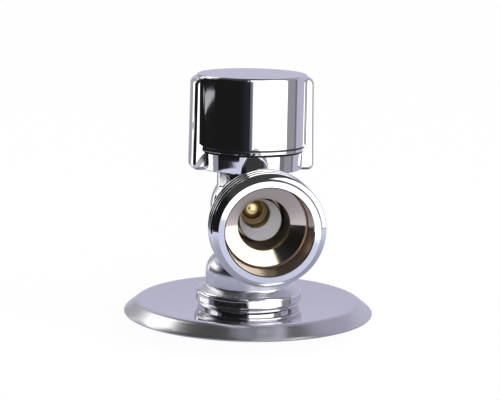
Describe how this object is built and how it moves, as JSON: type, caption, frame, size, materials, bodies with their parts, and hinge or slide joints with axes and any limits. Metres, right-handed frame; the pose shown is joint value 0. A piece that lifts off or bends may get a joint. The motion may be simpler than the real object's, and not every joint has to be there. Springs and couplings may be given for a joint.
{
  "type": "angle ball valve",
  "caption": "Quarter-turn angle ball valve: threaded inlet with wall plate and flange, slim neck, side outlet with external thread, winged knob on top.",
  "frame": {"origin": "centre of the inlet's end face, on the stem axis, where the valve stands", "axes": "+Z along the stem axis from the inlet up to the knob; -Y along the outlet, pointing out of it; +X to the right seen from the outlet side, along the knob's wings when the valve is closed"},
  "size_m": [0.0484, 0.0512, 0.0506],
  "materials": {
    "body_chrome": "chrome plate on brass, slightly rough as cast on the barrel",
    "knob_chrome": "mirror chrome plate",
    "plate_chrome": "mirror chrome plate on pressed steel sheet",
    "brass": "bright machined brass",
    "nickel": "plated, turned",
    "ptfe": "waxy white",
    "seal_rubber": "satin",
    "nylon": "moulded, matte"
  },
  "bodies": {
    "valve": {"valve_body": "body_chrome", "outlet_seat": "ptfe", "rear_seat": "ptfe", "seat_retainer": "nickel", "stem_washer_lower": "ptfe", "stem_washer_upper": "ptfe", "gland_nut": "brass"},
    "knob": {"knob_shell": "knob_chrome", "knob_insert": "nylon", "stem": "brass", "stem_o_ring_lower": "seal_rubber", "stem_o_ring_upper": "seal_rubber", "ball": "brass"},
    "plate": {"wall_plate": "plate_chrome"}
  },
  "joints": [
    {"name": "knob_turn", "type": "hinge", "parent": "valve", "child": "knob", "pos_m": [0, 0, 0.02485], "axis": [0, 0, 1], "range_deg": [0, 90]},
    {"name": "plate_slide", "type": "slide", "parent": "valve", "child": "plate", "axis": [0, 0, 1], "range_m": [-0.0039, 0.0001]}
  ]
}
